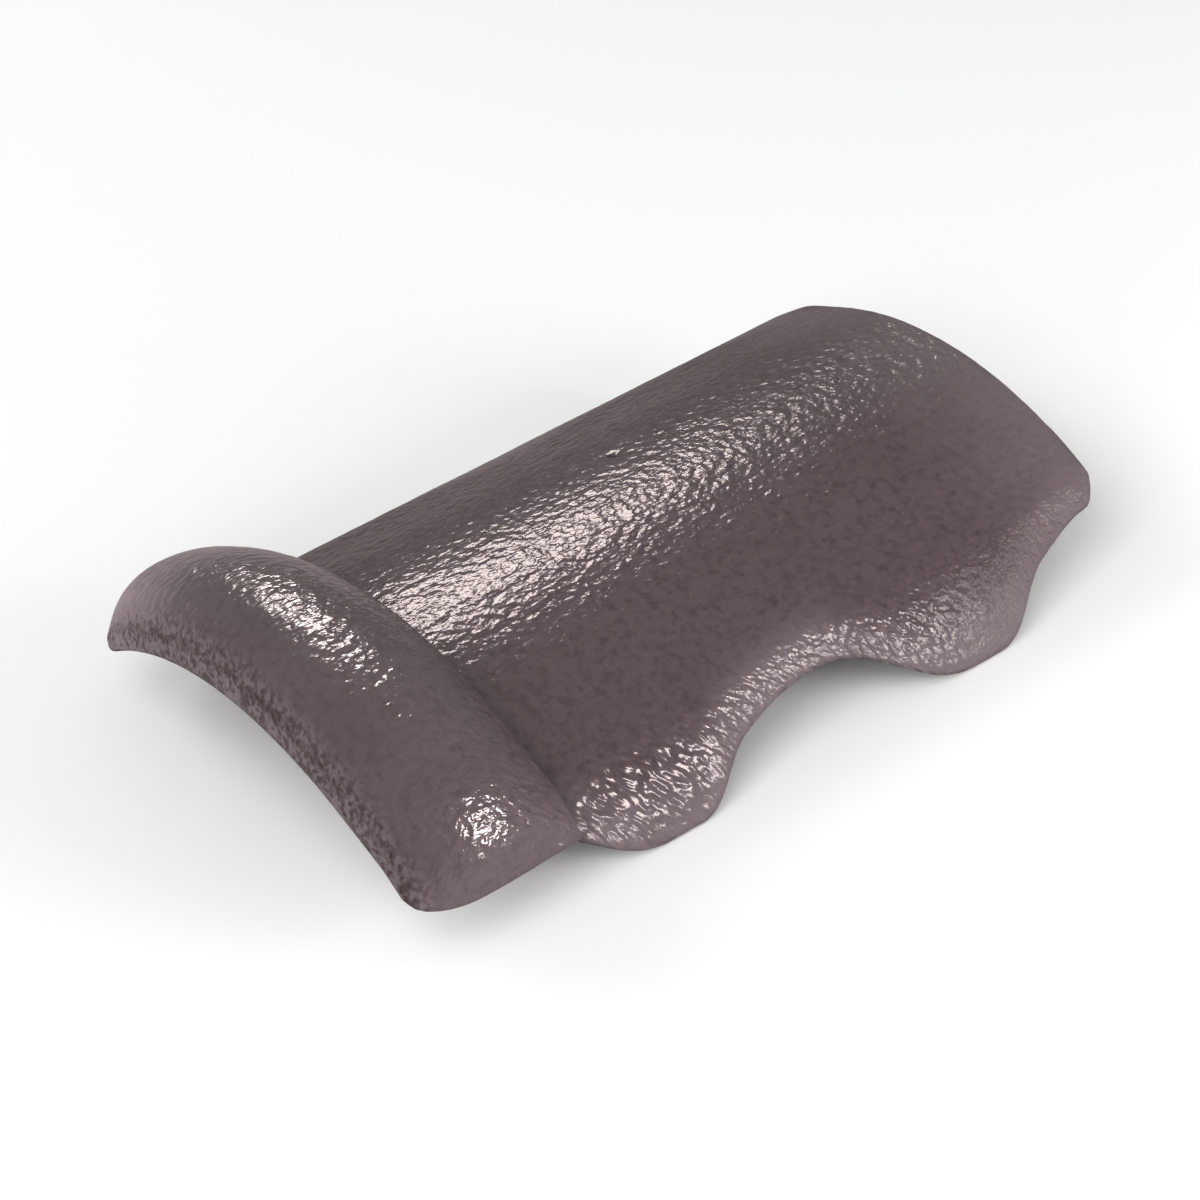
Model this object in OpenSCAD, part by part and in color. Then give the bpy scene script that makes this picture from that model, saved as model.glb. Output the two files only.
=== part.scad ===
// Scalloped ridge tile of cast concrete, one solid.
// The ridge runs along Y with the collar at the -Y end. X is across, Z is up,
// and the tile lies on the tips of its four side tongues at Z = 0.

/* [Overall] */
// Length along the ridge, collar nose to tail
length = 348; // [320:1:420]
// Height of the barrel's crown above the tongue tips
crown_height = 58; // [48:1:72]
// Wall thickness of the barrel
wall = 12; // [9:0.5:14]

/* [Cross section] */
// Outer radius of the crown
crown_radius = 167; // [135:1:200]
// Slope at which the crown runs out into the flank, in degrees
flank_slope = 22.5; // [18:0.5:27]
// Straight length of the flank between crown and shoulder
flank_length = 22; // [16:0.5:26]
// Outer radius of the shoulder that turns the flank down into the skirt
shoulder_radius = 52; // [44:1:62]
// Slope of the skirt below the shoulder, in degrees
skirt_slope = 71; // [60:1:75]

/* [Scalloped edge] */
// Distance from one tongue to the next, which is the roof tile's wave pitch
wave_pitch = 150; // [125:1:180]
// Distance from the nose to the crest of the first full arch
first_crest = 191; // [180:1:200]
// Height of the arches over the tongue tips
arch_height = 26; // [20:0.5:30]
// Radius of an arch's crest
arch_radius = 116; // [90:1:140]
// Half width of an arch at its foot, on the collar side
front_reach = 60.5; // [50:0.5:64]
// Half width of an arch at its foot, on the tail side
back_reach = 55.5; // [50:0.5:62]
// Slope of an arch's flank on the collar side, in degrees
front_slope = 48; // [40:1:55]
// Slope of an arch's flank on the tail side, in degrees
back_slope = 34; // [29:1:42]
// How softly the crest of an arch turns into its flanks
crest_blend = 5.5; // [2:0.5:8]
// How softly the flanks of an arch run out into the tongue tips
foot_blend = 8; // [3:0.5:8]
// Extra height cut from the side edges at the tail, which enters the next collar
tail_relief = 3; // [0:0.5:6]
// Rounding of the tail's bottom corners, seen from the side
tail_corner = 14; // [6:1:20]

/* [Collar] */
// Length of the collar along the ridge
collar_length = 71.5; // [66:0.5:80]
// Height of the collar's bead over the barrel, on the ridge
bead_height = 28; // [20:0.5:32]
// Height of the bead over the barrel at its bottom ends
bead_foot = 8.5; // [7.5:0.5:14]
// How far down the bead keeps its height before it falls off, higher is farther
bead_fade = 4.5; // [2:0.5:6]
// Distance from the nose to the top of the bead
bead_peak = 30; // [26:1:40]
// Height of the collar's back rim over the barrel
rim_height = 6.5; // [3:0.5:7]
// Height of the nose's flat front face, from the socket to the start of the bead
nose_lip = 2; // [1:0.5:4]
// Depth of the socket that takes the next tile's tail
socket_depth = 50; // [40:1:56]
// Gap between the socket and the tail inside it
socket_clearance = 1; // [0.5:0.25:3]
// Height of the collar's bottom face over the tongue tips, level with the barrel's face
collar_lift = 20; // [14:0.5:24]
// Slope of the collar's bottom face, which rises outwards, in degrees
collar_bevel = 16; // [0:1:30]
// Height of the rounding of the collar's bottom corners at the nose, seen from the side
nose_corner_height = 8; // [4:0.5:12]
// Length of that rounding along the ridge
nose_corner_length = 26; // [10:1:36]

/* [Edges] */
// Rounding of the skirt's outer bottom edges and of the tail's end
edge_radius = 3; // [1:0.5:4]
// Rounding of the collar's outer bottom edge
collar_edge_radius = 2.5; // [1.5:0.5:6]
// Rounding of the inner bottom edges
inner_edge_radius = 1.5; // [0.5:0.5:3]

/* [Hidden] */

// Points from the ridge down to the bottom edge, and round a bottom corner
profile_steps = 16;
corner_steps = 2;
// Stations round the front of the bead, over its back and round the tail
nose_steps = 9;
bead_steps = 7;
tail_steps = 3;
// Mean distance between stations along the barrel, and how much they crowd at the tongues
barrel_step = 5.5;
crowding = 0.4;
// Largest share of the bottom face that a rounded edge takes
edge_share = 0.4;
// Least height of the inner crown over the tail's bottom corners
crown_margin = 1;
// Fall of the collar's back step and of the socket's end along the ridge
rim_run = 1;
socket_run = 6;

// Landmarks of the barrel's outer profile
crown_centre = [0, crown_height - crown_radius];
flank_start = crown_centre + crown_radius * normal(flank_slope);
flank_end = flank_start + flank_length * downhill(flank_slope);
shoulder_centre = flank_end - shoulder_radius * normal(flank_slope);

function downhill(slope) = [cos(slope), -sin(slope)];
function normal(slope) = [sin(slope), cos(slope)];
function arc_length(radius, turn) = radius * turn * PI / 180;
function soft_min(a, b, blend) =
    let (h = max(blend - abs(a - b), 0) / blend) min(a, b) - h * h * blend / 4;
function soft_max(a, b, blend) = -soft_min(-a, -b, blend);

// Cross section, right of the ridge: the barrel's outer profile, or one at an offset from it.
// It runs over the crown's arc, down the straight flank, round the shoulder and down the skirt.

function crown_run(offset) = arc_length(crown_radius + offset, flank_slope);
function shoulder_run(offset) = arc_length(shoulder_radius + offset, skirt_slope - flank_slope);

// Point of the profile at the distance s from the ridge, measured along it
function profile_point(offset, s) =
    let (flank = s - crown_run(offset))
    let (turn = flank - flank_length)
    let (skirt = turn - shoulder_run(offset))
    flank < 0 ? crown_centre + (crown_radius + offset)
            * normal(flank_slope * s / crown_run(offset))
    : turn < 0 ? flank_start + offset * normal(flank_slope) + flank * downhill(flank_slope)
    : skirt < 0 ? shoulder_centre + (shoulder_radius + offset)
            * normal(flank_slope + (skirt_slope - flank_slope) * turn / shoulder_run(offset))
    : shoulder_centre + (shoulder_radius + offset) * normal(skirt_slope)
            + skirt * downhill(skirt_slope);

// Distance from the ridge, along the profile, at which it comes down to the height z
function run_to(offset, z) =
    let (crown_end = flank_start[1] + offset * cos(flank_slope))
    let (flank_foot = flank_end[1] + offset * cos(flank_slope))
    let (shoulder_end = shoulder_centre[1] + (shoulder_radius + offset) * cos(skirt_slope))
    z > crown_end ? arc_length(crown_radius + offset,
            acos((z - crown_centre[1]) / (crown_radius + offset)))
    : z > flank_foot ? crown_run(offset) + (crown_end - z) / sin(flank_slope)
    : z > shoulder_end ? crown_run(offset) + flank_length
            + arc_length(shoulder_radius + offset,
                acos((z - shoulder_centre[1]) / (shoulder_radius + offset)) - flank_slope)
    : crown_run(offset) + flank_length + shoulder_run(offset)
            + (shoulder_end - z) / sin(skirt_slope);

function side_point(offset, z) = profile_point(offset, run_to(offset, z));

// Points from the ridge down to the height z. The offset fades from the ridge's to the foot's.
function half_profile(ridge_offset, foot_offset, z) =
    [for (i = [0 : profile_steps])
        let (t = i / profile_steps)
        let (offset = ridge_offset + (foot_offset - ridge_offset) * pow(t, bead_fade))
        profile_point(offset, run_to(offset, z) * t)];

// Rounded corner at c, from a to b
function corner(a, c, b) =
    [for (i = [0 : corner_steps])
        let (t = i / corner_steps)
        (1 - t) * (1 - t) * a + 2 * t * (1 - t) * c + t * t * b];

function reversed(points) = [for (i = [len(points) - 1 : -1 : 0]) points[i]];
function tail_of(points) = [for (i = [1 : len(points) - 1]) points[i]];

// Lengthwise rules: how the section changes with the distance y from the nose

// One arch of the side edge, at the distance u behind its crest
function arch(u) =
    let (crest = arch_height - arch_radius + sqrt(max(0, arch_radius * arch_radius - u * u)))
    let (front = (u + front_reach) * tan(front_slope))
    let (back = (back_reach - u) * tan(back_slope))
    soft_max(0, soft_min(crest, min(front, back), crest_blend), foot_blend);

// Rise of a bottom edge at the distance d from the end where its corner is rounded
function corner_rise(d, height, run) = height * (1 - sqrt(1 - pow(max(0, 1 - d / run), 2)));

// Height of the barrel's side edge over the tongue tips, with square tail corners
function square_edge(y) =
    let (u = (y - first_crest) / wave_pitch)
    let (last_tongue = length - wave_pitch / 2)
    arch((u - round(u)) * wave_pitch)
        + tail_relief * max(0, (y - last_tongue) / (length - last_tongue));

// Room for the tail's bottom corners, between the square edge and the inner crown
corner_room = crown_height - wall - inner_edge_radius - crown_margin - square_edge(length);

// Height of the barrel's side edge over the tongue tips
function edge_height(y) =
    square_edge(y) + corner_rise(length - y, min(tail_corner, corner_room), tail_corner);

// Height of the collar's bottom face, where the barrel's face would meet it
function collar_edge(y) = collar_lift + corner_rise(y, nose_corner_height, nose_corner_length);

// Height of the collar over the barrel, along a bead of that height
function bead(y, height) =
    let (start = socket_clearance + nose_lip)
    let (run = collar_length - bead_peak)
    let (drop = height - rim_height)
    let (radius = (run * run + drop * drop) / (2 * drop))
    y < bead_peak
        ? start + (height - start) * sqrt(1 - pow((bead_peak - y) / bead_peak, 2))
        : height - radius + sqrt(radius * radius - pow(y - bead_peak, 2));

// Depth taken off both faces where the tail's end is rounded
function tail_rounding(y) =
    let (t = max(0, y - length + edge_radius))
    edge_radius - sqrt(edge_radius * edge_radius - t * t);

// Offsets of the outer face, on the ridge and at the bottom edge, and of the inner face
function ridge_offset(y) = y <= collar_length ? bead(y, bead_height) : -tail_rounding(y);
function foot_offset(y) = y <= collar_length ? bead(y, bead_foot) : -tail_rounding(y);
function inner_offset(y) =
    let (t = min(1, max(0, (y - socket_depth) / socket_run)))
    socket_clearance - (socket_clearance + wall) * t * t * (3 - 2 * t) + tail_rounding(y);

// The closed outline of the wall at the distance y from the nose. The barrel's bottom
// face is level, and the collar's rises outwards.
function ring(y) =
    let (outer = foot_offset(y))
    let (inner = inner_offset(y))
    let (collar = y <= collar_length)
    let (edge = collar ? collar_edge(y) : edge_height(y))
    let (rise = collar ? sin(collar_bevel) : 0)
    let (low = edge + rise * inner)
    let (high = edge + rise * outer)
    let (inside = side_point(inner, low))
    let (outside = side_point(outer, high))
    let (breadth = norm(outside - inside))
    let (along = (outside - inside) / breadth)
    let (outer_round = min(collar ? collar_edge_radius : edge_radius, breadth * edge_share))
    let (inner_round = min(inner_edge_radius, breadth * edge_share))
    let (outer_turn = high + outer_round)
    let (inner_turn = low + inner_round)
    let (half = concat(
        half_profile(ridge_offset(y), outer, outer_turn),
        tail_of(corner(side_point(outer, outer_turn), outside, outside - outer_round * along)),
        corner(inside + inner_round * along, inside, side_point(inner, inner_turn)),
        tail_of(reversed(half_profile(inner, inner, inner_turn)))))
    let (count = len(half))
    [for (i = [0 : 2 * count - 3])
        let (p = i < count ? half[i] : half[2 * count - 2 - i])
        [i < count ? p[0] : -p[0], y - length / 2, p[1]]];

// Stations: round the nose, over the bead, down its back step, along the barrel, round the tail
barrel_start = collar_length + rim_run;
barrel_end = length - edge_radius;
barrel_length = barrel_end - barrel_start;
barrel_steps = ceil(barrel_length / barrel_step);
function crowded(y) =
    y + crowding * wave_pitch / (2 * PI) * sin(360 * (y - first_crest) / wave_pitch);
function barrel_station(t) =
    let (first = crowded(barrel_start))
    let (last = crowded(barrel_end))
    barrel_start + barrel_length * (crowded(barrel_start + barrel_length * t) - first) / (last - first);
stations = concat(
    [for (i = [0 : nose_steps]) bead_peak * (1 - cos(90 * i / nose_steps))],
    [for (i = [1 : bead_steps]) bead_peak + (collar_length - bead_peak) * i / bead_steps],
    [for (i = [0 : barrel_steps]) barrel_station(i / barrel_steps)],
    [for (i = [1 : tail_steps]) barrel_end + edge_radius * sin(90 * i / tail_steps)]);

// One solid lofted through the rings, closed by a strip across the wall at each end.
// The faces are split the other way on the left, so that the solid is symmetric.
module loft(rings) {
    size = len(rings[0]);
    half = size / 2;
    last = (len(rings) - 1) * size;
    function at(i) = (i + size) % size;
    function split(a, b, c, d, right) = right ? [[a, b, c], [a, c, d]] : [[a, b, d], [b, c, d]];
    skin = [for (j = [0 : size : last - size]) for (i = [0 : size - 1])
        each split(j + i, j + size + i, j + size + at(i + 1), j + at(i + 1), i < half)];
    front = [for (i = [1 - (half + 1) / 2 : (half + 1) / 2 - 2])
        each split(at(i), at(i + 1), at(half - i - 1), at(half - i), i >= 0)];
    back = [for (f = front) [last + f[2], last + f[1], last + f[0]]];
    polyhedron([for (r = rings) each r], concat(skin, front, back), convexity = 6);
}

module ridge_tile() {
    color([0.40, 0.36, 0.37])
        loft([for (y = stations) ring(y)]);
}

ridge_tile();
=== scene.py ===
"""Looks of a ridge tile of cast concrete under a glossy coat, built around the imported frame."""
import math

import bmesh
import bpy
import numpy as np
from mathutils import Matrix, Vector, noise


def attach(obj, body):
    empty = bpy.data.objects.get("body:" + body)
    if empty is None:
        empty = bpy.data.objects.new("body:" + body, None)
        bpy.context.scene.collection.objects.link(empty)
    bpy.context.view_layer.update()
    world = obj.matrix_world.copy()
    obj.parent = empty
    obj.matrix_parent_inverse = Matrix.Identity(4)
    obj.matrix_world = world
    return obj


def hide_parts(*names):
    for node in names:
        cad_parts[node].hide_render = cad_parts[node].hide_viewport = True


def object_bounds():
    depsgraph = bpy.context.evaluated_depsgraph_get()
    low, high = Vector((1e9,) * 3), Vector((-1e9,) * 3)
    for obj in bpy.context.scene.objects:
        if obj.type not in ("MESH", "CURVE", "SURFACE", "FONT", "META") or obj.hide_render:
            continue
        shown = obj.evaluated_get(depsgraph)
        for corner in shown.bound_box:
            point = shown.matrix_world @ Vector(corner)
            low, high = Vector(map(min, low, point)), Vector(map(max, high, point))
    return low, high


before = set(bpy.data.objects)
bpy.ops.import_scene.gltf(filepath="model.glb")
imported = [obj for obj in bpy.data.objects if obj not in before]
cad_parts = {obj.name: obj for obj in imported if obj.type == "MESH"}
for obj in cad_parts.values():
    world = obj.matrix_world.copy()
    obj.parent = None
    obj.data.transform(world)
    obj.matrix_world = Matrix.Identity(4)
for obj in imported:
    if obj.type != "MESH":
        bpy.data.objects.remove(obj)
CAD_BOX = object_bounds()

MM = 0.001
NODE = "ridge_tile"

# ---- Dense mesh of the tile, on the CAD's own outlines ----------------------------------

MERGE = 0.01 * MM        # points nearer than this are one
PROFILE_STEPS = 16       # stretches of the CAD outline between the ridge and the foot
CORNER_STEPS = 2         # and round each bottom corner
OUTER_CUTS = 7           # parts that an outline's stretch is cut into, outside
FACE_CUTS = 4            # across the bottom face
INNER_CUTS = 2           # and inside
LENGTH_STEP = 1.28 * MM  # distance between the new outlines
LEAST_STEP = 0.45 * MM   # a stretch shorter than this isn't cut
OVERLAP = 3              # points by which a closed outline laps over before it is smoothed


def cad_rings(node):
    """The node's outlines, front to back, as rows of points.

    Each starts on the ridge, runs down the right of the outer face, round the bottom edge,
    up inside, and comes back on the left.
    """
    mesh = bmesh.new()
    mesh.from_mesh(node.data)
    bmesh.ops.remove_doubles(mesh, verts=mesh.verts, dist=MERGE)
    mesh.verts.index_update()
    points = np.array([v.co for v in mesh.verts])
    order = np.argsort(points[:, 1])
    new_station = np.diff(points[order, 1]) > MERGE
    station = np.empty(len(points), int)
    station[order] = np.concatenate(([0], np.cumsum(new_station)))

    beside = {i: [] for i in range(len(points))}
    for edge in mesh.edges:
        a, b = (v.index for v in edge.verts)
        on_wall = any(station[v.index] != station[a] for f in edge.link_faces for v in f.verts)
        if station[a] == station[b] and on_wall:
            beside[a].append(b)
            beside[b].append(a)
    mesh.free()

    rings = []
    for s in range(station.max() + 1):
        ridge = [i for i in np.flatnonzero(station == s) if abs(points[i, 0]) < MERGE]
        start = max(ridge, key=lambda i: points[i, 2])
        walk = [start, max(beside[start], key=lambda i: points[i, 0])]
        while walk[-1] != start:
            walk.append(next(i for i in beside[walk[-1]] if i != walk[-2]))
        rings.append(points[walk[:-1]])
    return np.array(rings)


def smooth_curve(points, u, at):
    """The curve through the points at u, read at the values `at`. It never overshoots."""
    step = np.diff(u)[:, None]
    secant = np.diff(points, axis=0) / step
    slope = np.empty_like(points)
    slope[0], slope[-1] = secant[0], secant[-1]
    before, after = secant[:-1], secant[1:]
    middle = (points[2:] - points[:-2]) / (step[1:] + step[:-1])
    limit = 3 * np.minimum(abs(before), abs(after)) * (before * after > 0)
    slope[1:-1] = np.sign(middle) * np.minimum(abs(middle), limit)
    i = np.clip(np.searchsorted(u, at, side="right") - 1, 0, len(u) - 2)
    h = step[i]
    t = (at - u[i])[:, None] / h
    return (
        points[i] * (1 + 2 * t) * (1 - t) ** 2
        + points[i + 1] * t * t * (3 - 2 * t)
        + slope[i] * h * t * (1 - t) ** 2
        - slope[i + 1] * h * t * t * (1 - t)
    )


def chords(points):
    """Distance run along a row of points."""
    return np.concatenate(([0], np.cumsum(np.linalg.norm(np.diff(points, axis=0), axis=1))))


def cut(u, parts):
    """Values that cut each stretch of u into its number of parts, without the last end."""
    return np.concatenate([
        a + (b - a) * np.arange(n) / n for a, b, n in zip(u[:-1], u[1:], parts)
    ])


def finer_ring(ring):
    """A CAD outline with more points, in the same order."""
    down = [OUTER_CUTS] * PROFILE_STEPS + [1] * CORNER_STEPS
    up = [1] * CORNER_STEPS + [INNER_CUTS] * PROFILE_STEPS
    half = down + [FACE_CUTS] + up
    parts = half + half[::-1]
    around = np.concatenate((ring[-OVERLAP:], ring, ring[:OVERLAP + 1]))
    u = chords(around)
    return smooth_curve(around, u, cut(u[OVERLAP:-OVERLAP], parts))


def finer_length(rings):
    """More outlines between the given ones, and each one's distance run from the nose."""
    gaps = np.linalg.norm(np.diff(rings, axis=0), axis=2).mean(1)
    run = np.concatenate(([0], np.cumsum(gaps)))
    parts = [max(1, round(g / LENGTH_STEP)) if g > LEAST_STEP else 1 for g in gaps]
    at = np.append(cut(run, parts), run[-1])
    flat = rings.reshape(len(rings), -1)
    return smooth_curve(flat, run, at).reshape(len(at), -1, 3), at


def wall_places(rings, run):
    """Each point's place in the wall: across it from the ridge, along it and through it.

    The second result is its distance from the foot, the nose and the tail.
    """
    half = rings.shape[1] // 2
    outer = OUTER_CUTS * PROFILE_STEPS + CORNER_STEPS
    inner = half - outer - FACE_CUTS
    places = np.zeros_like(rings)
    ends = np.zeros_like(rings)
    for ring, place, end, y in zip(rings, places, ends, run):
        right = ring[: half + 1]
        down = chords(right[: outer + 1])
        up = chords(right[half - inner:][::-1])[::-1]
        share = np.linspace(0, 1, FACE_CUTS + 1)[1:-1]
        face = down[-1] + (up[0] - down[-1]) * share
        thickness = np.linalg.norm(right[outer] - right[outer + FACE_CUTS])
        across = np.concatenate((down, face, up))
        through = np.concatenate((np.zeros(outer + 1), share, np.ones(inner + 1))) * thickness
        place[: half + 1, 0] = across
        place[half + 1:, 0] = -across[1:-1][::-1]
        place[: half + 1, 2] = through
        place[half + 1:, 2] = through[1:-1][::-1]
        place[:, 1] = y
        end[:, 0] = down[-1] - abs(place[:, 0])
        end[:, 1:] = y, run[-1] - y
    return places, ends


def tile_mesh(rings, name):
    """A closed mesh through the rings, with a face across the wall at each end."""
    count, size = rings.shape[:2]
    faces = []
    for j in range(count - 1):
        for i in range(size):
            k = (i + 1) % size
            faces.append((j * size + i, j * size + k, (j + 1) * size + k, (j + 1) * size + i))
    last = (count - 1) * size
    front = list(reversed(range(size)))
    back = [last + i for i in range(size)]
    mesh = bpy.data.meshes.new(name)
    mesh.from_pydata(rings.reshape(-1, 3).tolist(), [], faces + [front, back])
    return mesh


# ---- Relief ------------------------------------------------------------------------------

MEAN_DEPTH = 0.40 * MM   # of the surface under the CAD's faces
WAVES = (                # size across and along the wall, seed and depth
    (36 * MM, 48 * MM, 3.1, 0.18 * MM),
    (9 * MM, 12 * MM, 11.7, 0.12 * MM),
    (4.2 * MM, 5.5 * MM, 23.9, 0.10 * MM),
)
LUMP_BAND = 18 * MM      # width of the lumpy band round the nose
LUMP_SIZE, LUMP_SEED, LUMP_DEPTH = 3.6 * MM, 31.3, 0.22 * MM
OUTSIDE = 1 * MM         # a point less deep in the wall than this is on the outer face
RIM_OUTSIDE = 3 * MM     # from the nose, over which the relief starts on the outer face
RIM_INSIDE = 14 * MM     # and on the inner one, as the lip is thin there
PIT = (-35 * MM, 28.5 * MM)  # X and Y of the one open pore on the barrel
PIT_RADIUS, PIT_DEPTH = 3 * MM, 1.1 * MM

CORNER_WHOLE, CORNER_GONE = 12 * MM, 26 * MM  # from the nose, for the left corner's own shape
CORNER_INWARD, INWARD_REACH = 4.6 * MM, 5.5 * MM  # how far it is drawn in, and over what reach
CORNER_LIFT, LIFT_REACH = 1.8 * MM, 5 * MM        # the same for how far it is lifted
EDGE_HANG, HANG_AT = 2.4 * MM, 12 * MM  # the edge hangs most at this distance from the corner
HANG_POWER = 3           # a higher one keeps the hang to a shorter stretch


def bell(distance, reach):
    """1 at the middle, falling smoothly away."""
    return np.exp(-((distance / reach) ** 2))


def wave(place, across, along, seed):
    """Smooth noise from -1 to 1 whose waves are so long across and along the wall."""
    return noise.noise((place[0] / across, place[1] / along, place[2] / across + seed))


def relief(place, nose):
    """Height of the surface over the CAD's face at a place of the wall, never above 0."""
    height = -MEAN_DEPTH
    for across, along, seed, depth in WAVES:
        height += depth * wave(place, across, along, seed)
    lumps = wave(place, LUMP_SIZE, LUMP_SIZE, LUMP_SEED) * max(0, 1 - nose / LUMP_BAND)
    height += LUMP_DEPTH * (lumps - abs(lumps))
    rim = RIM_OUTSIDE if place[2] < OUTSIDE else RIM_INSIDE
    return height * min(1, nose / rim)


def shape_left_corner(rings, ends):
    """Rounds the left end of the nose and lets the edge beside it hang, as the real one does."""
    shaped = rings.copy()
    outer = OUTER_CUTS * PROFILE_STEPS + CORNER_STEPS
    for ring, new, nose in zip(rings, shaped, ends[:, 0, 1]):
        share = np.clip((CORNER_GONE - nose) / (CORNER_GONE - CORNER_WHOLE), 0, 1)
        share = share * (ring[:, 0] < 0)
        away = np.linalg.norm(ring - ring[-outer], axis=1)
        hang = (away / HANG_AT * np.exp(1 - away / HANG_AT)) ** HANG_POWER
        new[:, 0] += share * CORNER_INWARD * bell(away, INWARD_REACH)
        new[:, 2] += share * (CORNER_LIFT * bell(away, LIFT_REACH) - EDGE_HANG * hang)
    return shaped


def carve(mesh, places, ends):
    """Moves the mesh's points by the relief and the pore, along their own normals.

    Each point keeps its place in the wall and its distances from the ends as attributes.
    """
    places, ends = (v.reshape(-1, 3) for v in (places, ends))
    co = np.empty(len(mesh.vertices) * 3)
    normal = np.empty(len(mesh.vertices) * 3)
    mesh.vertices.foreach_get("co", co)
    mesh.vertices.foreach_get("normal", normal)
    co = co.reshape(-1, 3)
    normal = normal.reshape(-1, 3)
    height = np.array([relief(place, end[1]) for place, end in zip(places, ends)])
    from_pit = np.hypot(co[:, 0] - PIT[0], co[:, 1] - PIT[1])
    height -= PIT_DEPTH * (places[:, 2] < OUTSIDE) * bell(from_pit, PIT_RADIUS)
    co = np.clip(co + normal * height[:, None], *CAD_BOX)
    mesh.vertices.foreach_set("co", co.ravel())
    for name, values in (("wall", places), ("ends", ends)):
        attribute = mesh.attributes.new(name, "FLOAT_VECTOR", "POINT")
        attribute.data.foreach_set("vector", values.astype(np.float32).ravel())
    mesh.update()


# ---- Material ----------------------------------------------------------------------------


class Nodes:
    """Short names for making and joining a material's nodes."""

    def __init__(self, tree):
        self.tree = tree
        tree.nodes.clear()

    def add(self, kind, **settings):
        node = self.tree.nodes.new(kind)
        for name, value in settings.items():
            setattr(node, name, value)
        return node

    def feed(self, socket, value):
        if isinstance(value, bpy.types.NodeSocket):
            self.tree.links.new(value, socket)
        else:
            socket.default_value = value

    def maths(self, operation, *values, clamp=False):
        node = self.add("ShaderNodeMath", operation=operation, use_clamp=clamp)
        for socket, value in zip(node.inputs, values):
            self.feed(socket, value)
        return node.outputs[0]

    def noise(self, vector, size, detail=2.0, roughness=0.5, stretch=(1, 1, 1), turn=0, shift=0):
        """Noise from 0 to 1 with waves of that size in metres, longer by stretch.

        The stretched directions are turned about the third axis, in degrees.
        """
        mapping = self.add("ShaderNodeMapping", vector_type="TEXTURE")
        self.feed(mapping.inputs["Vector"], vector)
        mapping.inputs["Location"].default_value = [shift * size] * 3
        mapping.inputs["Rotation"].default_value = (0, 0, math.radians(turn))
        mapping.inputs["Scale"].default_value = [size * s for s in stretch]
        node = self.add("ShaderNodeTexNoise")
        self.feed(node.inputs["Vector"], mapping.outputs[0])
        node.inputs["Scale"].default_value = 1.0
        node.inputs["Detail"].default_value = detail
        node.inputs["Roughness"].default_value = roughness
        return node.outputs["Fac"]

    def named_noise(self, vector, name):
        return self.noise(vector, **NOISES[name])

    def product(self, first, *others):
        for value in others:
            first = self.maths("MULTIPLY", first, value)
        return first

    def total(self, first, *others):
        for value in others:
            first = self.maths("ADD", first, value)
        return first

    def most(self, first, *others):
        for value in others:
            first = self.maths("MAXIMUM", first, value)
        return first

    def rest(self, value):
        """What is missing from the value to 1."""
        return self.maths("SUBTRACT", 1, value)

    def distance(self, vector, point):
        node = self.add("ShaderNodeVectorMath", operation="DISTANCE")
        self.feed(node.inputs[0], vector)
        self.feed(node.inputs[1], point)
        return node.outputs["Value"]

    def flattened(self, vector):
        """The vector with its height set to 0."""
        node = self.add("ShaderNodeVectorMath", operation="MULTIPLY")
        self.feed(node.inputs[0], vector)
        self.feed(node.inputs[1], (1, 1, 0))
        return node.outputs[0]

    def parts(self, vector):
        node = self.add("ShaderNodeSeparateXYZ")
        self.feed(node.inputs[0], vector)
        return node.outputs

    def between(self, value, low, high, out_low=0.0, out_high=1.0):
        node = self.add("ShaderNodeMapRange", interpolation_type="SMOOTHSTEP")
        for name, v in zip(("Value", "From Min", "From Max", "To Min", "To Max"),
                           (value, low, high, out_low, out_high)):
            self.feed(node.inputs[name], v)
        return node.outputs[0]

    def ramp(self, value, name):
        return self.between(value, *RAMPS[name])

    def blend(self, factor, a, b):
        node = self.add("ShaderNodeMix", data_type="FLOAT")
        for index, value in ((0, factor), (2, a), (3, b)):
            self.feed(node.inputs[index], value)
        return node.outputs[0]

    def mix(self, factor, a, b):
        node = self.add("ShaderNodeMix", data_type="RGBA")
        for index, value in ((0, factor), (6, a), (7, b)):
            self.feed(node.inputs[index], value)
        return node.outputs[2]


COAT_COLOUR = (0.086, 0.062, 0.069, 1)
COAT_DARK = (0.069, 0.048, 0.054, 1)
COAT_FRECKLE = (0.050, 0.033, 0.039, 1)
# Paler coat tone: partly a thinner coat, partly painted light from behind and from the side
COAT_THIN_AND_PAINTED_LIGHT = (0.160, 0.127, 0.138, 1)
COAT_PALE = (0.240, 0.192, 0.208, 1)
# Near-black inside the open pore: painted shade in the hole
PIT_PAINTED_SHADE = (0.016, 0.009, 0.011, 1)
# Dark tone of the band behind the nose rim: its dark line, and painted shade in the fold dips
BAND_DARK = (0.048, 0.029, 0.033, 1)
RAW_COLOUR = (0.165, 0.138, 0.138, 1)
RAW_DARK = (0.105, 0.086, 0.088, 1)

# Size of the waves, detail, and the shift, in waves, that makes them differ
NOISES = {
    "clouds": dict(size=28 * MM, detail=2, shift=1),
    "ripples": dict(size=3.3 * MM, detail=1.8, roughness=0.45, stretch=(1, 1.5, 1), shift=2),
    "grain": dict(size=1.3 * MM, detail=3, roughness=0.7, shift=3),
    "streaks": dict(size=4.6 * MM, detail=1, stretch=(1.8, 1, 1), turn=38, shift=4),
    "fine streaks": dict(size=2.9 * MM, detail=1, stretch=(1.6, 1, 1), turn=38, shift=5),
    "mottle": dict(size=4.5 * MM, detail=2, shift=5),
    "folds": dict(size=2.5 * MM, detail=1.5, shift=6),
    "fray": dict(size=2.6 * MM, detail=3, roughness=0.6, shift=7),
    "wander": dict(size=11 * MM, detail=1, shift=8),
    "patches": dict(size=9 * MM, detail=2, shift=9),
    "freckles": dict(size=3.4 * MM, detail=2, shift=12),
}

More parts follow.
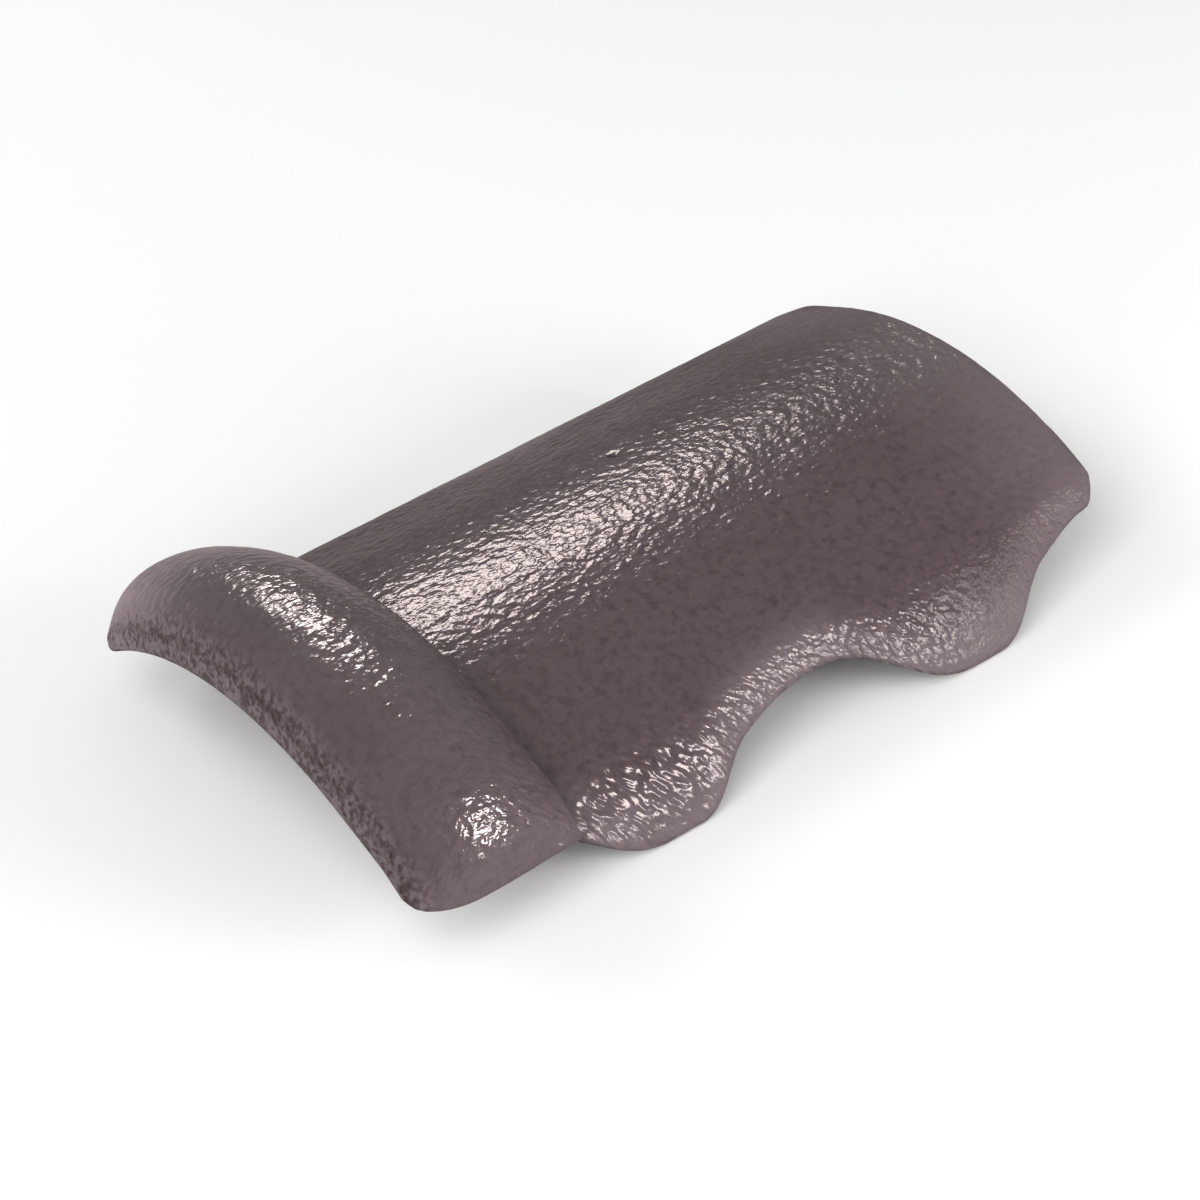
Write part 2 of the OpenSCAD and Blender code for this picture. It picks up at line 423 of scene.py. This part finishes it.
# From which to which value each ramp runs, and what it gives at both ends (0 and 1 if unsaid)
RAMPS = {
    # by the distance from the nose
    "collar": (80 * MM, 95 * MM, 1, 0),
    "rim": (6 * MM, 20 * MM, 1, 0),
    "thin coat and painted light to the nose": (60 * MM, 100 * MM, 0.2, 0),
    "left end": (12 * MM, 45 * MM, 1, 0),
    "dark line's front": (13 * MM, 15 * MM),
    "dark line's back": (15 * MM, 18.5 * MM, 1, 0),
    "middle and tail": (140 * MM, 200 * MM),
    # by the distance from the tail
    "thin coat and painted light to the tail": (0, 90 * MM, 0.65, 0),
    "duller to the tail": (60 * MM, 140 * MM, 0.2, 0),
    "tail's skirt": (60 * MM, 150 * MM, 1, 0),
    # by the distance from the foot
    "thin coat and painted light to the foot": (4 * MM, 34 * MM, 0.7, 0),
    "foot": (1 * MM, 9 * MM, 1, 0),
    "sandy to the foot": (4 * MM, 30 * MM, 0.6, 0),
    "roll to the foot": (0, 24 * MM, -4.2 * MM, 0),
    # by the distance across from the ridge, left below 0
    "thin coat and painted light to the left": (-120 * MM, 0, 0.9, 0),
    "left side": (-120 * MM, -50 * MM, 1, 0),
    "skirt": (82 * MM, 104 * MM),
    # by other distances
    "end of the coat": (2 * MM, 2.6 * MM),
    "pore_and_painted_shade": (5 * MM, 7 * MM, 0.95, 0),
    "dust in the crease": (1.5 * MM, 5 * MM, 0.1, 1),
    # by the height of the skirt's edge
    "in the arch": (8 * MM, 25 * MM),
    # by how far a point is on the collar
    "foot on the collar": (0, 1, 1, 0.45),
    "gloss on the collar": (0, 1, 0.55, 0.95),
    "ripples on the collar": (0, 1, 0.75 * MM, 1.2 * MM),
    # by a noise
    "thin coat and painted light in clouds": (0.25, 0.6, 0.8, 1),
    "tone of the mottle": (0.27, 0.58),
    "tone of the clouds": (0.35, 0.65, -0.15, 0.15),
    "freckles": (0.24, 0.50, 0.75, 0),
    "freckles in clouds": (0.35, 0.55, 0.4, 1),
    "painted light and wear on the fold tops": (0.46, 0.60, 0, 0.8),
    "painted shade in the fold dips": (0.34, 0.50, 0.85, 0),
    "dark line in clouds": (0.35, 0.6, 0.45, 0.9),
    "grain of the concrete": (0.35, 0.65),
    "roughness of the patches": (0.3, 0.7, 0.45, 0.60),
}

CREASE_Y = CAD_BOX[0][1] + 71.5 * MM  # the collar ends in a crease this far from the nose
RAW_FRAY = 3 * MM                     # by which the coat's inner edge wanders
LINE_FRAY, LINE_WANDER = 9 * MM, 8 * MM  # by which the dark line behind the rim wanders
PIT_FOLDS, PIT_FRAY = 5 * MM, 3 * MM  # by which the pore's outline is ragged
RAW_ROUGHNESS = 0.9
WORN_GLOSS_LOSS = 0.25
SPECULAR, COAT_ROUGHNESS, COAT_IOR = 0.1, 0.1, 1.5
STREAKS_DEPTH, FINE_STREAKS_DEPTH = 2.5 * MM, 1.7 * MM
TAIL_GRAIN_DEPTH = 1.9 * MM
CRINKLE_DEPTH = 2.4 * MM
SAND_DEPTH = 0.30 * MM
WORN_SAND = 0.6                       # sand on worn places, where raw concrete has 1
SKIRT_FALL = 0.75                     # how far the skirt falls for each step down its wall


class Places:
    """Where a point of the tile lies, and which parts of the finish it belongs to."""

    def __init__(self, n):
        self.wall = n.add("ShaderNodeAttribute", attribute_name="wall").outputs["Vector"]
        ends = n.add("ShaderNodeAttribute", attribute_name="ends").outputs["Vector"]
        self.foot, self.nose, self.tail = n.parts(ends)
        self.across, _, self.through = n.parts(self.wall)
        self.place = n.add("ShaderNodeTexCoord").outputs["Object"]
        _, self.y, self.z = n.parts(self.place)
        self.clouds = n.named_noise(self.place, "clouds")
        self.fray = n.named_noise(self.place, "fray")
        self.folds = n.named_noise(self.place, "folds")
        self.grain = n.named_noise(self.place, "grain")
        self.collar = n.ramp(self.nose, "collar")
        self.off_collar = n.rest(self.collar)
        self.rim = n.ramp(self.nose, "rim")
        self.worn = n.most(n.ramp(self.foot, "foot"), self.rim)
        frayed = n.total(self.through, n.product(self.fray, RAW_FRAY))
        self.raw = n.ramp(frayed, "end of the coat")
        from_pit = n.distance(n.flattened(self.place), (*PIT, 0))
        ragged = n.total(from_pit, n.product(self.folds, PIT_FOLDS))
        ragged = n.total(ragged, n.product(self.fray, PIT_FRAY))
        self.pore_and_painted_shade = n.ramp(ragged, "pore_and_painted_shade")


def thin_coat_and_painted_light(n, at):
    """How much paler the coat is toward the edges and on the left of the collar: partly a thinner
    coat, partly painted light from behind and from the side.
    """
    foot = n.product(n.ramp(at.foot, "thin coat and painted light to the foot"), n.ramp(at.collar, "foot on the collar"))
    tail = n.ramp(at.tail, "thin coat and painted light to the tail")
    nose = n.ramp(at.nose, "thin coat and painted light to the nose")
    left = n.product(at.collar, n.ramp(at.across, "thin coat and painted light to the left"))
    return n.product(n.most(foot, tail, nose, left), n.ramp(at.clouds, "thin coat and painted light in clouds"))


def dark_line(n, at):
    """A broken dark line that wanders behind the rim of the nose."""
    wander = n.named_noise(at.place, "wander")
    run = n.total(at.nose, n.product(at.fray, LINE_FRAY))
    run = n.total(run, n.product(wander, LINE_WANDER))
    line = n.maths("MINIMUM", n.ramp(run, "dark line's front"), n.ramp(run, "dark line's back"))
    return n.product(line, n.ramp(at.clouds, "dark line in clouds"))


def coat_colour(n, at):
    """The coat from its plain tone up, one layer of marks over the other."""
    mottle = n.ramp(n.named_noise(at.place, "mottle"), "tone of the mottle")
    tone = n.total(mottle, n.ramp(at.clouds, "tone of the clouds"))
    coat = n.mix(tone, COAT_DARK, COAT_COLOUR)
    freckles = n.ramp(n.named_noise(at.place, "freckles"), "freckles")
    freckles = n.product(freckles, n.ramp(at.clouds, "freckles in clouds"))
    coat = n.mix(freckles, coat, COAT_FRECKLE)
    # Paler toward the edges: partly a thinner coat, partly painted light
    coat = n.mix(thin_coat_and_painted_light(n, at), coat, COAT_THIN_AND_PAINTED_LIGHT)
    # Paler still at the collar's left end: partly a thinner coat, partly painted light on that
    # side
    left_end = n.product(n.ramp(at.across, "left side"), n.ramp(at.nose, "left end"))
    coat = n.mix(left_end, coat, COAT_PALE)
    # Painted light on the tops of the folds by the rim, drawn also as a worn, thinner coat, and
    # painted shade in their dips
    lit_and_worn_tops = n.product(at.rim, n.ramp(at.folds, "painted light and wear on the fold tops"))
    coat = n.mix(lit_and_worn_tops, coat, COAT_THIN_AND_PAINTED_LIGHT)
    painted_shade_in_dips = n.product(at.rim, n.ramp(at.folds, "painted shade in the fold dips"))
    coat = n.mix(painted_shade_in_dips, coat, BAND_DARK)
    coat = n.mix(dark_line(n, at), coat, BAND_DARK)
    # The open pore is painted near-black: painted shade inside it
    return n.mix(at.pore_and_painted_shade, coat, PIT_PAINTED_SHADE)


def base_colour(n, at):
    concrete = n.mix(n.ramp(at.grain, "grain of the concrete"), RAW_DARK, RAW_COLOUR)
    return n.mix(at.raw, coat_colour(n, at), concrete)


def base_roughness(n, at):
    patches = n.named_noise(at.place, "patches")
    rough = n.ramp(patches, "roughness of the patches")
    return n.maths("MAXIMUM", rough, n.product(at.raw, RAW_ROUGHNESS))


def gloss(n, at):
    """Weight of the glossy coat: less where it is worn, none where it is missing."""
    weight = n.ramp(at.collar, "gloss on the collar")
    weight = n.maths("SUBTRACT", weight, n.product(at.worn, WORN_GLOSS_LOSS))
    weight = n.maths("SUBTRACT", weight, n.ramp(at.tail, "duller to the tail"))
    from_crease = n.maths("ABSOLUTE", n.maths("SUBTRACT", at.y, CREASE_Y))
    weight = n.product(weight, n.ramp(from_crease, "dust in the crease"))
    kept = n.rest(n.most(at.raw, at.pore_and_painted_shade))
    return n.maths("MULTIPLY", kept, weight, clamp=True)


def skirt_streaks(n, at):
    """Streaks that run down the skirts: coarse by the collar, finer behind, grainy at the tail."""
    coarse = n.product(n.named_noise(at.wall, "streaks"), STREAKS_DEPTH)
    fine = n.product(n.named_noise(at.wall, "fine streaks"), FINE_STREAKS_DEPTH)
    streaks = n.blend(n.ramp(at.nose, "middle and tail"), coarse, fine)
    grainy = n.product(at.fray, TAIL_GRAIN_DEPTH)
    return n.blend(n.ramp(at.tail, "tail's skirt"), streaks, grainy)


def fine_relief(n, at):
    """Height of what is finer than the mesh, in metres."""
    ripples = n.named_noise(at.wall, "ripples")
    ripples = n.product(ripples, n.ramp(at.collar, "ripples on the collar"))
    skirt = n.ramp(n.maths("ABSOLUTE", at.across), "skirt")
    waves = n.blend(n.product(skirt, at.off_collar), ripples, skirt_streaks(n, at))
    edge_height = n.maths("SUBTRACT", at.z, n.product(at.foot, SKIRT_FALL))
    in_arch = n.product(n.ramp(edge_height, "in the arch"), at.off_collar)
    roll = n.product(in_arch, n.ramp(at.foot, "roll to the foot"))
    crinkles = n.product(at.folds, at.rim, CRINKLE_DEPTH)
    sandy = n.most(at.raw, n.product(at.worn, WORN_SAND), n.ramp(at.foot, "sandy to the foot"))
    sand = n.product(at.grain, sandy, SAND_DEPTH)
    return n.total(waves, roll, crinkles, sand)


def coated_concrete():
    """Dark purple-brown glossy coat over cast concrete."""
    material = bpy.data.materials.new("coated_concrete")
    material.use_nodes = True
    n = Nodes(material.node_tree)
    output = n.add("ShaderNodeOutputMaterial")
    shader = n.add("ShaderNodeBsdfPrincipled")
    n.feed(output.inputs["Surface"], shader.outputs[0])
    at = Places(n)
    n.feed(shader.inputs["Base Color"], base_colour(n, at))
    n.feed(shader.inputs["Roughness"], base_roughness(n, at))
    n.feed(shader.inputs["Coat Weight"], gloss(n, at))
    shader.inputs["Specular IOR Level"].default_value = SPECULAR
    shader.inputs["Coat Roughness"].default_value = COAT_ROUGHNESS
    shader.inputs["Coat IOR"].default_value = COAT_IOR
    bump = n.add("ShaderNodeBump")
    bump.inputs["Strength"].default_value = 1.0
    bump.inputs["Distance"].default_value = 1.0
    n.feed(bump.inputs["Height"], fine_relief(n, at))
    n.feed(shader.inputs["Normal"], bump.outputs[0])
    n.feed(shader.inputs["Coat Normal"], bump.outputs[0])
    return material


# ---- The tile ----------------------------------------------------------------------------


def make_tile():
    rings = np.array([finer_ring(r) for r in cad_rings(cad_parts[NODE])])
    rings, run = finer_length(rings)
    places, ends = wall_places(rings, run)
    mesh = tile_mesh(shape_left_corner(rings, ends), "tile")
    carve(mesh, places, ends)
    mesh.shade_smooth()
    mesh.materials.append(coated_concrete())
    tile = bpy.data.objects.new("coated_tile", mesh)
    bpy.context.scene.collection.objects.link(tile)
    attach(tile, "root")
    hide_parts(NODE)
    return tile


# ---- Camera, floor and light -------------------------------------------------------------

AZIMUTH, ELEVATION, ROLL = 55.752, 36.786, -5.839
DISTANCE = 1.45652       # from the camera's plane to the middle of the box
AIM = (-0.00509, -0.02213)  # of the optical axis from that middle, to the right and up
LENS, SENSOR = 112.23, 36.0
FLOOR_HALF = 12.0        # half the floor's side
FLOOR_WHITE = (0.93, 0.93, 0.93, 1)
FLOOR_IN_SHINE = (0.42, 0.34, 0.36, 1)  # what the coat reflects of the floor
WORLD_LEVEL, WORLD_IN_SHINE = 0.5, 0.12
WHITE, WARM = (1.0, 1.0, 1.0), (1.0, 0.87, 0.83)

# Name, direction from the tile's middle, distance, size and power of each lamp. The fills
# light the tile and don't show in its coat. The others show in the coat and light nothing.
FILLS = (
    ("fill_front", (0.35, -0.75, 1.0), 2.6, (2.0, 2.0), 28),
    ("fill_low", (0.45, -1.0, 0.35), 2.4, (1.5, 1.5), 14),
    ("fill_left", (-1.0, -0.5, 0.5), 2.4, (1.5, 1.5), 29),
    ("fill_right", (1.0, 0.6, 0.25), 1.4, (0.8, 0.6), 18),
)
REFLECTED = (
    ("softbox_back_left", (-0.69, 0.335, 0.61), 1.5, (0.44, 0.34), 8.8),
    ("halo_back_left", (-0.70, 0.31, 0.62), 1.6, (0.75, 0.6), 5.2),
    ("softbox_back_right", (0.83, 0.36, 0.42), 1.4, (0.40, 0.46), 19),
    ("halo_back_right", (0.82, 0.38, 0.38), 1.5, (0.6, 0.9), 2.6),
)


def middle():
    low, high = CAD_BOX
    return (low + high) / 2


def make_camera():
    a, e, roll = (math.radians(angle) for angle in (AZIMUTH, ELEVATION, ROLL))
    ahead = Vector((-math.sin(a) * math.cos(e), math.cos(a) * math.cos(e), -math.sin(e)))
    level = Vector((math.cos(a), math.sin(a), 0))
    upright = level.cross(ahead)
    right = level * math.cos(roll) + upright * math.sin(roll)
    up = upright * math.cos(roll) - level * math.sin(roll)
    place = middle() + right * AIM[0] + up * AIM[1] - ahead * DISTANCE
    data = bpy.data.cameras.new("camera")
    data.lens, data.sensor_width = LENS, SENSOR
    camera = bpy.data.objects.new("camera", data)
    turn = Matrix((right, up, -ahead)).transposed().to_4x4()
    camera.matrix_world = Matrix.Translation(place) @ turn
    bpy.context.scene.collection.objects.link(camera)
    bpy.context.scene.camera = camera
    return camera


def lamp(name, towards, distance, size, power, reflected):
    """A rectangular lamp in that direction from the tile's middle, turned to face it.

    It either shows in glossy surfaces and lights nothing, or the other way round.
    """
    data = bpy.data.lights.new(name, "AREA")
    data.shape = "RECTANGLE"
    data.size, data.size_y = size
    data.energy = power
    data.color = WARM if reflected else WHITE
    made = bpy.data.objects.new(name, data)
    direction = Vector(towards).normalized()
    made.location = middle() + direction * distance
    made.rotation_euler = direction.to_track_quat("Z", "Y").to_euler()
    made.visible_glossy = reflected
    made.visible_diffuse = not reflected
    bpy.context.scene.collection.objects.link(made)
    return made


def make_floor():
    """A white floor that shows weaker in the tile's shine."""
    bm = bmesh.new()
    bmesh.ops.create_grid(bm, x_segments=1, y_segments=1, size=FLOOR_HALF)
    mesh = bpy.data.meshes.new("floor")
    bm.to_mesh(mesh)
    bm.free()
    material = bpy.data.materials.new("floor_pale")
    material.use_nodes = True
    n = Nodes(material.node_tree)
    output = n.add("ShaderNodeOutputMaterial")
    shader = n.add("ShaderNodeBsdfDiffuse")
    n.feed(output.inputs["Surface"], shader.outputs[0])
    glossy = n.add("ShaderNodeLightPath").outputs["Is Glossy Ray"]
    n.feed(shader.inputs["Color"], n.mix(glossy, FLOOR_WHITE, FLOOR_IN_SHINE))
    mesh.materials.append(material)
    floor = bpy.data.objects.new("floor", mesh)
    bpy.context.scene.collection.objects.link(floor)
    return floor


def make_world(level, shine):
    """Even light of that level, which shows in glossy surfaces at the level `shine`."""
    world = bpy.data.worlds.new("studio")
    world.use_nodes = True
    n = Nodes(world.node_tree)
    output = n.add("ShaderNodeOutputWorld")
    background = n.add("ShaderNodeBackground")
    n.feed(output.inputs["Surface"], background.outputs[0])
    glossy = n.add("ShaderNodeLightPath").outputs["Is Glossy Ray"]
    n.feed(background.inputs["Strength"], n.between(glossy, 0, 1, level, shine))
    bpy.context.scene.world = world


# ---- The scene ---------------------------------------------------------------------------

make_camera()
make_tile()
make_floor()
make_world(WORLD_LEVEL, WORLD_IN_SHINE)
for row in FILLS:
    lamp(*row, reflected=False)
for row in REFLECTED:
    lamp(*row, reflected=True)

bpy.context.scene.view_settings.view_transform = "Standard"
